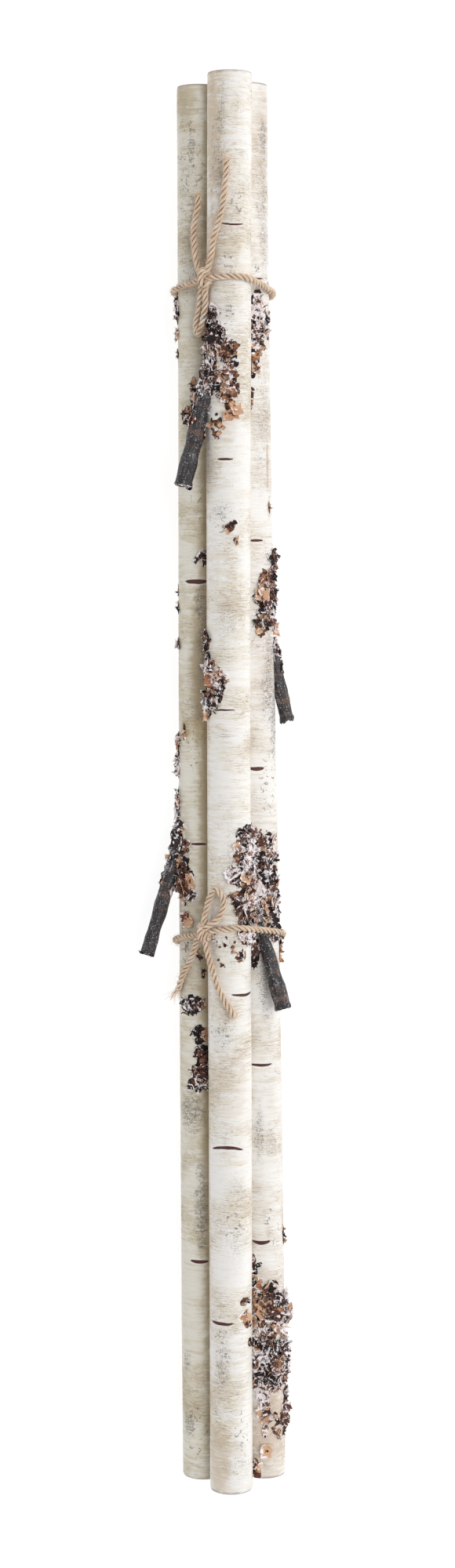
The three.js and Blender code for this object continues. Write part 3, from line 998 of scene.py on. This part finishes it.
def keptClear(pole, y, turn, height):  # presses the bark in where a neighbour or the twine lies on it
    radius = layout["poleRadius"]
    bed, highest = poleLook["underTwine"]
    x0, z0 = axisAt(pole, y)
    for other in poleEnds:
        if other == pole:
            continue
        x1, z1 = axisAt(other, y)
        for _ in range(6):
            x = x0 + (radius + height) * np.sin(turn)
            z = z0 + (radius + height) * np.cos(turn)
            close = np.hypot(x - x1, z - z1) < radius + poleLook["neighbourGap"]
            height = np.where(close & (height > 0), height * 0.6, height)
    for tie in ties.values():
        x = x0 + radius * np.sin(turn)
        z = z0 + radius * np.cos(turn)
        off = np.abs(y - (tie["plane"][0] + tie["plane"][1] * x + tie["plane"][2] * z))
        height = np.where(off < bed, np.minimum(height, highest), height)
        height = np.where(z0 + (radius + height) * np.cos(turn) < poleLook["floorGap"], 0.0, height)
    return height


# The bark's colours, from the palest to the crust's black
barkLook = {
    "pole_front": {"white": (0.87, 0.85, 0.82), "cream": (0.81, 0.76, 0.67), "tan": (0.60, 0.48, 0.34)},
    # the left pole's colours are darker and yellower, partly its own tone and partly painted shade from the
    # front pole beside it
    "pole_left": {"white": (0.76, 0.73, 0.65), "cream": (0.68, 0.62, 0.49), "tan": (0.45, 0.36, 0.22)},
    "pole_right": {"white": (0.86, 0.84, 0.81), "cream": (0.80, 0.745, 0.67), "tan": (0.60, 0.48, 0.37)},
}
crustLook = {
    "black": (0.016, 0.010, 0.011),
    "brown": (0.175, 0.066, 0.042),
    "rust": (0.40, 0.175, 0.085),
    "amber": (0.70, 0.44, 0.27),
    "frost": (0.95, 0.895, 0.905),
}


def crustColour(f, tone, rim):  # black and brown plates, amber where they are freshly broken, and pale frost, more of it at the flakes' rims as a painted highlight
    fine = f.noise(1.5, 4, 0.65)
    wide = f.noise(13.0, 2)
    pale = f.noise(17.0, 2, shift=7.0)
    tint = f.attribute("tint")
    shade = tone + (fine - 0.5) * 0.8 + tint * 0.2
    colour = f.blend(f.step(shade, 0.24, 0.66), crustLook["black"], crustLook["brown"])
    broken = f.blend(f.step(tone + fine, 1.0, 1.4), crustLook["rust"], crustLook["amber"])
    rusty = f.step(tone * 0.6 + wide * 0.6 + (fine - 0.5) * 0.4 + tint * 0.16, 0.68, 0.84)
    colour = f.blend(rusty * 0.9, colour, broken)
    powder = f.noise(3.4, 4, 0.68, shift=9.0) * 0.85 + pale * 0.5 + rim * 0.15 - f.away(tint) * 0.095
    return f.blend(f.step(powder, 0.785, 0.845) * 0.94, colour, crustLook["frost"]), fine


def birchBark(name, look):
    f = Finish(name)
    warp = f.cloud(f.place, 60.0, 2.0, "Color")
    warp = f.node("ShaderNodeVectorMath", {"operation": "SCALE"}, {0: warp, "Scale": 0.004})
    bent = f.node("ShaderNodeVectorMath", {"operation": "ADD"}, {0: f.place, 1: warp})
    patches = f.noise(38.0, 3)
    bands = f.noise((30.0, 3.4, 30.0), 4, 0.6, bent)
    streaks = f.noise((10.0, 1.0, 10.0), 4, 0.65, bent, 4.0)
    hairlines = f.noise((14.0, 0.45, 14.0), 2, 0.5, bent, 11.0)
    dashes = f.noise((3.2, 0.55, 3.2), 2, 0.5, bent, 8.0)
    mottle = f.noise((7.0, 4.0, 7.0), 4, 0.6, shift=6.0)
    colour = f.blend(f.step(bands + (patches - 0.5) * 0.9, 0.38, 0.64), look["white"], look["cream"])
    colour = f.blend(f.step(mottle + (patches - 0.5) * 0.6, 0.52, 0.80) * 0.32, colour, look["tan"])
    colour = f.blend(f.step(streaks + (patches - 0.5) * 1.2, 0.60, 0.80) * 0.5, colour, look["tan"])
    gathered = f.step(patches + mottle * 0.3, 0.52, 0.80)
    colour = f.blend(f.step(hairlines, 0.56, 0.66) * (gathered * 0.6 + 0.16), colour, (0.36, 0.29, 0.23))
    scuffs = f.noise((1.0, 5.0, 1.0), 3, 0.6, bent, 15.0)
    scuffs = f.step(scuffs, 0.60, 0.68) * f.step(patches, 0.50, 0.62)
    colour = f.blend(scuffs * 0.4, colour, (0.36, 0.31, 0.27))
    # fine dark lines at curls and scars: partly their edges, partly painted shadow under lifted curls
    outlineAndCurlShadow = 1.0 - f.step(f.away(f.noise(9.0, 2, 0.55, bent, 13.0) - 0.5), 0.010, 0.030)
    outlineAndCurlShadow = outlineAndCurlShadow * f.step(f.attribute("peel") + (mottle - 0.5) * 1.2, 0.35, 0.6)
    outlineAndCurlShadow = outlineAndCurlShadow * f.step(f.noise(4.0, 2, shift=17.0), 0.48, 0.56)  # stretches of it, not loops
    colour = f.blend(outlineAndCurlShadow * 0.78, colour, (0.20, 0.16, 0.135))
    # tan where the stains lie; along the stain rows 1300 mm long this is painted shade on the flanks
    stainAndFlankShade = f.attribute("stainAndFlankShade")
    wornAndShaded = f.step(bands * 0.5 + streaks * 0.5 + stainAndFlankShade * 0.35, 0.45, 0.80) * f.step(stainAndFlankShade, 0.0, 0.9)
    colour = f.blend(wornAndShaded * 0.8, colour, look["tan"])
    dark = f.step(dashes, 0.585, 0.66) * f.step(patches + streaks * 0.4, 0.58, 0.85)
    colour = f.blend(dark * 0.55, colour, (0.25, 0.20, 0.17))
    dots = f.step(f.noise(1.0, 2, shift=3.0), 0.66, 0.74) * f.step(f.noise(16.0, 2, shift=5.0), 0.5, 0.66)
    colour = f.blend(dots * 0.65, colour, (0.15, 0.12, 0.11))
    smudge = f.attribute("smudge")
    dust = f.noise((0.9, 2.4, 0.9), 4, 0.7, bent, 2.0) * 0.55
    dust = dust + f.noise((5.0, 0.8, 5.0), 3, 0.65, bent, 6.0) * 0.45
    grimy = f.step(dust + smudge * 0.15, 0.56, 0.70) * f.step(smudge, 0.0, 0.75)
    colour = f.blend(grimy * 0.82, colour, (0.15, 0.135, 0.13))
    colour = f.blend(smudge * 0.12, colour, (0.42, 0.39, 0.37))
    colour = f.blend(f.attribute("brink") * 0.72, colour, (0.30, 0.22, 0.21))
    # painted highlight: the slits' raised lips are painted paler than the bark
    colour = f.blend(f.attribute("lip") * 0.4, colour, (0.93, 0.90, 0.87))
    inner = f.blend(mottle, (0.020, 0.010, 0.012), (0.16, 0.055, 0.042))
    colour = f.blend(f.step(f.attribute("slit"), 0.15, 0.7), colour, inner)
    crust = f.attribute("crust")
    rough, knobs = crustColour(f, f.attribute("tone"), f.attribute("crack") * -1.0)
    rough = f.blend(f.attribute("crack") * 0.85, rough, crustLook["black"])
    edge = f.step(crust + (knobs - 0.5) * 0.5, 0.30, 0.55)
    colour = f.blend(edge, colour, rough)
    low = f.bump(streaks * 0.5 + bands * 0.4 + hairlines * 0.3 - dark * 0.4 - grimy * 0.3, 0.0006, 0.6)
    heap = {"Height": knobs * edge, "Distance": 0.0014, "Strength": 0.9, "Normal": low}
    height = f.node("ShaderNodeBump", {}, heap)
    look = {"Base Color": colour, "Roughness": 0.58 + edge * 0.3, "Normal": height}
    return f.done({**look, "Specular IOR Level": 0.3})


# The cut ends: where the rings' middle lies, and each drying crack's angle and reach, in radii
endLook = {
    "pole_front": {"heart": (0.10, -0.06), "cracks": [(0.6, 0.86), (3.6, 0.5)]},
    "pole_left": {"heart": (-0.12, 0.05), "cracks": [(2.2, 0.92), (5.3, 0.4), (0.3, 0.3)]},
    "pole_right": {"heart": (0.05, 0.13), "cracks": [(4.4, 0.78), (1.5, 0.55)]},
}


def endGrain(name, look):
    f = Finish(name)
    x = f.attribute("capX") - look["heart"][0]
    z = f.attribute("capZ") - look["heart"][1]
    reach = f.node("ShaderNodeVectorMath", {"operation": "LENGTH"}, {0: f.joined(x, z)}, output="Value")
    waver = f.noise(7.0, 3) - 0.5
    rings = f.node("ShaderNodeMath", {"operation": "SINE"}, {0: (reach + waver * 0.16) * 82.0})
    fine = f.noise(0.9, 3, 0.6)
    colour = f.blend(f.step(rings + (fine - 0.5) * 1.6, -0.9, 1.1), (0.58, 0.42, 0.27), (0.74, 0.60, 0.43))
    colour = f.blend(f.step(reach + waver * 0.5, 0.42, 0.18) * 0.45, colour, (0.42, 0.27, 0.16))
    colour = f.blend(f.step(f.noise(11.0, 3, shift=3.0), 0.5, 0.7) * 0.3, colour, (0.50, 0.43, 0.36))
    cracked = 0.0
    for angle, far in look["cracks"]:
        across = f.away(x * math.cos(angle) - z * math.sin(angle) + waver * 0.10)
        ahead = x * math.sin(angle) + z * math.cos(angle)
        crack = (1.0 - f.step(across, 0.006, 0.022)) * f.step(ahead, 0.0, 0.08)
        cracked = crack * f.step(ahead, far, far - 0.12) + cracked
    colour = f.blend(f.step(cracked, 0.1, 0.7) * 0.85, colour, (0.10, 0.06, 0.04))
    colour = f.blend(f.step(f.attribute("ring") + waver * 0.05, 0.90, 0.95), colour, (0.20, 0.11, 0.07))
    height = f.bump(rings * 0.3 + fine - cracked * 2.0, 0.0005, 0.7)
    return f.done({"Base Color": colour, "Roughness": 0.8, "Normal": height})


def capPlaces(ring, centre, into, seed):  # rings of points from an edge to the middle of a cut end
    places, shares = [], []
    count = poleLook["capRings"]
    for k in range(1, count):
        share = 1 - k / count
        here = centre + (ring - centre) * share
        here[:, 1] += into * (poleLook["capDip"] + softNoise(here, 3.0, seed) * poleLook["capRough"])
        places.append(here)
        shares.append(np.full(len(ring), share))
    places.append([centre + (0, into * poleLook["capMiddle"], 0)])
    return np.vstack(places), np.concatenate(shares + [[0]])


def poleMesh(pole, seed):
    rings = ringPlaces(pole)
    turns = roundPlaces()
    y, turn = np.meshgrid(rings, turns, indexing="ij")
    height, made = barkRelief(pole, y, turn, seed)
    height = keptClear(pole, y, turn, height)
    edge = np.minimum(y - rings[0], rings[-1] - y)
    height = height - poleLook["endRounding"] * rise(1.6, 0.0, edge)
    ragged = softNoise(np.stack([y, turn * 8, 0 * y], -1), 2.0, seed) - 0.5
    made["brink"] = rise(1.9, 0.6, edge + 1.2 * ragged)
    x0, z0 = axisAt(pole, y)
    reach = layout["poleRadius"] + height
    body = np.stack([x0 + reach * np.sin(turn), y, z0 + reach * np.cos(turn)], -1)
    sides = len(turns)
    places = [body.reshape(-1, 3)]
    faces = tubeFaces(len(rings), sides)
    barkFaces = len(faces)
    barkPlaces = total = y.size
    ringShare = [np.ones(barkPlaces)]
    for row, first, heading in ((body[0], 0, -1), (body[-1], total - sides, 1)):
        here, share = capPlaces(row, row.mean(0), -heading, seed)
        places.append(here)
        ringShare.append(share)
        faces += capFaces(first, total, poleLook["capRings"] - 1, sides, heading)
        total += len(here)
    places = np.vstack(places)
    spare = total - barkPlaces
    attributes = {key: np.concatenate([value.ravel(), np.zeros(spare)]) for key, value in made.items()}
    attributes["ring"] = np.concatenate(ringShare)
    middleX, middleZ = axisAt(pole, places[:, 1])
    attributes["capX"] = (places[:, 0] - middleX) / layout["poleRadius"]
    attributes["capZ"] = (places[:, 2] - middleZ) / layout["poleRadius"]
    slots = [0] * barkFaces + [1] * (len(faces) - barkFaces)
    finishes = [birchBark(pole + "Bark", barkLook[pole]), endGrain(pole + "EndGrain", endLook[pole])]
    return madePiece(pole + "_wood", toFrame(places), faces, finishes, attributes, slots)


# Flakes of bark that curl up from the crusts
def flakeTree(name, finish):
    g = Growth(name, ("Density", "Smallest", "Largest", "Width", "Thickness", "Curl", "Lean", "Shape"))
    take = g.take
    crust = g.node("GeometryNodeInputNamedAttribute", {"data_type": "FLOAT"}, {"Name": "crust"})
    keep = g.node("FunctionNodeCompare", {"operation": "GREATER_THAN"}, {"A": crust, "B": 0.42})
    roots, rotation = g.roots(take["Density"] * keep)
    store = {"data_type": "FLOAT", "domain": "POINT"}
    toned = {"Geometry": roots, "Name": "shade", "Value": g.chance(0.0, 1.0, take["Seed"])}
    roots = g.node("GeometryNodeStoreNamedAttribute", store, toned)
    slab = {"Size": (1, 1, 1), "Vertices X": 5, "Vertices Y": 4, "Vertices Z": 2}
    slab = g.node("GeometryNodeMeshCube", {}, slab)
    position = g.node("GeometryNodeInputPosition")
    parts = g.node("ShaderNodeSeparateXYZ", {}, {0: position}).socket.node.outputs
    x, y, z = (Wire(g, part) for part in parts)
    apart = g.node("ShaderNodeVectorMath", {"operation": "ADD"}, {0: position, 1: take["Shape"]})
    ragged = g.cloud(apart, 3.1, 2.0)
    bend = take["Curl"] * (x * x * 1.3 + y * y * 0.7 + x * 0.25 + (ragged - 0.5) * 0.9)
    wide = y * (1.0 - x * x * 0.7 + (ragged - 0.5) * 3.0)
    shaped = g.joined(x * (0.8 + ragged * 0.6), wide, z * take["Thickness"] + bend)
    slab = g.node("GeometryNodeSetPosition", {}, {"Geometry": slab, "Position": shaped})
    # how near a flake's edge each point is, for a painted highlight along its rim
    rim = g.node("ShaderNodeMath", {"operation": "MAXIMUM"}, {0: x * x * 4, 1: y * y * 4})
    slab = g.node("GeometryNodeStoreNamedAttribute", store, {"Geometry": slab, "Name": "rim", "Value": rim})
    lean = g.joined(take["Lean"], take["Lean"], 3.1416)
    back = g.node("ShaderNodeVectorMath", {"operation": "SCALE"}, {0: lean, "Scale": -1.0})
    tilt = g.chance(back, lean, take["Seed"], "FLOAT_VECTOR")
    size = g.chance(take["Smallest"], take["Largest"], take["Seed"] + 1)
    narrow = g.chance(0.55, 1.2, take["Seed"] + 2)
    scale = g.joined(size, size * narrow * take["Width"], size)
    return g.done(roots, rotation, slab, tilt, scale, finish)


def flakeFinish(name):
    f = Finish(name)
    colour, fine = crustColour(f, f.attribute("shade"), f.attribute("rim"))
    return f.done({"Base Color": colour, "Roughness": 0.88, "Normal": f.bump(fine, 0.0006, 0.7)})


flaky = flakeTree("barkFlakes", flakeFinish("curledBark"))
flakeLook = {  # plates lie nearly flat, and curls and shreds stand off the crust
    "plates": {"Density": 26000.0, "Smallest": 0.0035, "Largest": 0.0120, "Width": 0.9, "Thickness": 0.08}
    | {"Curl": 0.35, "Lean": 0.42, "Shape": 0.0},
    "curls": {"Density": 30000.0, "Smallest": 0.0030, "Largest": 0.0075, "Width": 0.6, "Thickness": 0.09}
    | {"Curl": 0.8, "Lean": 0.85, "Shape": 3.7},
    "shreds": {"Density": 30000.0, "Smallest": 0.0014, "Largest": 0.0045, "Width": 0.35, "Thickness": 0.12}
    | {"Curl": 1.1, "Lean": 1.3, "Shape": 8.1},
}


def placeWood(node, wood, seed):  # the wood and the flakes that grow on it
    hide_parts(node)
    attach(wood, "root")
    for kind, look in flakeLook.items():
        seed += 1
        flakes = grown(f"{node}_{kind}", wood, flaky, {**look, "Seed": seed})
        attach(flakes, "root")
    print(f"{node} made")


for seed, pole in enumerate(poleEnds):
    placeWood(pole, poleMesh(pole, 100 + 50 * seed), 10 * seed)


# The twigs; clad is the share of its length that a twig's base is wrapped in flakes
twigs = {
    "twig_front": {"base": (-7, 388, 63.3), "tip": (-37.7, 267.2, 65.3), "radii": (6.9, 7.6)}
    | {"ragged": 0.6, "clad": 0.66},
    "twig_left": {"base": (-32.9, -10, 25.8), "tip": (-70.2, -137.7, 29.5), "radii": (6.9, 6.1)}
    | {"ragged": 0.8, "clad": 0.58},
    "twig_right_upper": {"base": (31, 160, 24.3), "tip": (51.7, 66.2, 23.5), "radii": (5.6, 6.2)}
    | {"ragged": 3.5, "clad": 0.5},
    "twig_right_lower": {"base": (25, -98, 40), "tip": (48.5, -181.7, 53), "radii": (5, 7.4)}
    | {"ragged": 1.6, "clad": 0.34},
}
twigLook = {
    "sides": 72,
    "step": 1.0,
    "ridge": 0.9,
    "bumps": 0.9,
    "grainRadius": 6.5,  # where the grain's noise is read, round the twig
    "capRings": 6,
    "capDip": 0.8,
}


def twigBark(name):
    f = Finish(name)
    along, around = f.attribute("along"), f.attribute("around")
    grain = f.cloud(f.joined(around * 4.0, along * 0.10), 1.0, 4.0)
    hoops = f.cloud(f.joined(along * 0.085, around * 0.12, 3.3), 1.0, 2.0)
    fine = f.noise(1.5, 4, 0.65)
    specks = f.noise(0.9, 2, shift=4.0)
    ridge, crust = f.attribute("ridge"), f.attribute("crust")
    colour = f.blend(f.step(grain, 0.35, 0.7), (0.012, 0.010, 0.012), (0.044, 0.037, 0.038))
    colour = f.blend(f.step(hoops + (fine - 0.5) * 0.4, 0.56, 0.66) * 0.6, colour, (0.150, 0.078, 0.050))
    # pale bluish streaks: partly grey grain, partly painted highlight, stronger on the ridges
    pale = f.step(fine * 0.55 + grain * 0.40 + ridge * 0.25 + crust * 0.05, 0.66, 0.76)
    colour = f.blend(pale * 0.66, colour, (0.50, 0.50, 0.54))
    dusted = f.step(specks + crust * 0.09, 0.65, 0.71)
    colour = f.blend(dusted * 0.85, colour, (0.84, 0.82, 0.86))
    cut = f.blend(f.step(fine, 0.4, 0.65), (0.040, 0.028, 0.022), (0.13, 0.090, 0.070))
    colour = f.blend(f.step(f.attribute("end"), 0.3, 0.7), colour, cut)
    height = f.bump(fine * 0.5 + grain, 0.0009, 0.8)
    return f.done({"Base Color": colour, "Roughness": 0.5, "Normal": height})


charBark = twigBark("twigBark")


def twigMesh(name, twig, seed):
    base, tip = np.array(twig["base"], float), np.array(twig["tip"], float)
    length = np.linalg.norm(tip - base)
    way = (tip - base) / length
    side = np.cross(way, (0, 0, 1.0))
    side /= np.linalg.norm(side)
    top = np.cross(side, way)
    sides, capRings = twigLook["sides"], twigLook["capRings"]
    runs = np.linspace(0, length, int(length / twigLook["step"]))
    run, turn = np.meshgrid(runs, np.arange(sides) * 2 * math.pi / sides, indexing="ij")
    share = run / length
    swell = 1 + 0.05 * np.sin(2 * math.pi * (run - length / 2) / 30 + base[1])
    radius = (twig["radii"][0] * (1 - share) + twig["radii"][1] * share) * swell
    reach = twigLook["grainRadius"]
    skin = np.stack([np.cos(turn) * reach, np.sin(turn) * reach, run], -1)
    ridge = roughNoise(skin, (2.6, 2.6, 11), seed)
    bumps = roughNoise(skin, 5, seed + 4)
    radius = radius - 0.2 + twigLook["ridge"] * (ridge - 0.5) * 1.6 + twigLook["bumps"] * (bumps - 0.5)
    radius = radius + 0.5 * rise(5.0, 1.6, length - run) - 0.9 * rise(1.2, 0.0, length - run)
    broken = twig["ragged"] * (roughNoise(skin * (1, 1, 0) + (0, 0, seed), 2.4, seed + 7) - 0.5) * 2
    ahead = run + broken * rise(0.86, 1.0, share)
    body = base + way * ahead[..., None] + side * (np.cos(turn) * radius)[..., None]
    body = body + top * (np.sin(turn) * radius)[..., None]
    places = [body.reshape(-1, 3)]
    faces = tubeFaces(len(body), sides)
    total = run.size
    dip = twigLook["capDip"]
    for row, first, heading in ((body[0], 0, -1), (body[-1], total - sides, 1)):
        centre = row.mean(0)
        for k in range(1, capRings):
            inner = centre + (row - centre) * (1 - k / capRings)
            rough = twig["ragged"] * (softNoise(inner, 2.0, seed + k) - 0.5) - dip * rise(0, 1, k / 3)
            places.append(inner + way * heading * rough[:, None])
        places.append([centre - way * heading * dip])
        faces += capFaces(first, total, capRings - 1, sides, heading)
        total += (capRings - 1) * sides + 1
    places = np.vstack(places)
    spare = total - run.size
    cladTo = twig["clad"] * (0.45 + 0.55 * np.cos(turn) ** 2)
    clad = rise(-0.03, 0.03, cladTo - share + 0.3 * (softNoise(skin, 7, seed + 9) - 0.5))
    made = {"along": run, "around": turn, "ridge": ridge, "crust": clad, "tint": np.full(run.shape, -0.5)}
    made = {key: np.append(value.ravel(), np.full(spare, value.mean())) for key, value in made.items()}
    made["end"] = np.append(np.zeros(run.size), np.ones(spare))
    return madePiece(name + "_wood", toFrame(places), faces, [charBark], made)


for seed, (name, twig) in enumerate(twigs.items()):
    placeWood(name, twigMesh(name, twig, 400 + 20 * seed), 40 + 10 * seed)


# Floor and light
studio = {
    "flatRadius": 12.0,  # the white paper lies flat as far as this, and then sweeps up all round
    "innerRadius": 4.0,
    "sweepRadius": 6.0,
    "sweepAngle": 85,
    "sweepStretch": 1.6,
    "sweepSides": 48,
    "sweepRings": 9,
    "paperColours": ((0.25, 0.25, 0.25), (0.27, 0.27, 0.27)),
    "paperGlow": 0.84,
    "sky": 0.35,
    "keyWay": (0.46, 0.12, 0.88),
    "keyAngle": 40.0,  # how wide the light is, in degrees
    "keyStrength": 1.72,
}


def paperSweep():
    climb = np.radians(np.linspace(0, studio["sweepAngle"], studio["sweepRings"]))
    reach = studio["flatRadius"] + studio["sweepRadius"] * np.sin(climb)
    reach = np.append(studio["innerRadius"], reach)
    height = studio["sweepStretch"] * studio["sweepRadius"] * (1 - np.cos(climb))
    height = np.append(0.0, height)
    turn = np.arange(studio["sweepSides"]) * 2 * math.pi / studio["sweepSides"]
    rings = [np.stack([r * np.cos(turn), r * np.sin(turn), 0 * turn + h], -1) for r, h in zip(reach, height)]
    faces = [quad[::-1] for quad in tubeFaces(len(rings), studio["sweepSides"])]
    paper = Finish("whitePaper")
    colour = paper.blend(paper.noise(40.0, 2), *studio["paperColours"])
    look = {"Base Color": colour, "Roughness": 0.9, "Emission Color": (1.0, 1.0, 1.0)}
    look["Emission Strength"] = studio["paperGlow"]
    faces.append(list(range(studio["sweepSides"])))
    return madePiece("floor", np.vstack(rings), faces, [paper.done(look)])


floor = paperSweep()

world = bpy.data.worlds.new("studio")
bpy.context.scene.world = world
world.use_nodes = True
world.node_tree.nodes["Background"].inputs["Color"].default_value = (1, 1, 1, 1)
world.node_tree.nodes["Background"].inputs["Strength"].default_value = studio["sky"]

keyLight = bpy.data.objects.new("keyLight", bpy.data.lights.new("keyLight", "SUN"))
keyLight.data.energy = studio["keyStrength"]
keyLight.data.angle = math.radians(studio["keyAngle"])
keyLight.rotation_euler = (-Vector(studio["keyWay"])).to_track_quat("-Z", "Y").to_euler()
bpy.context.collection.objects.link(keyLight)
print("floor and light made")
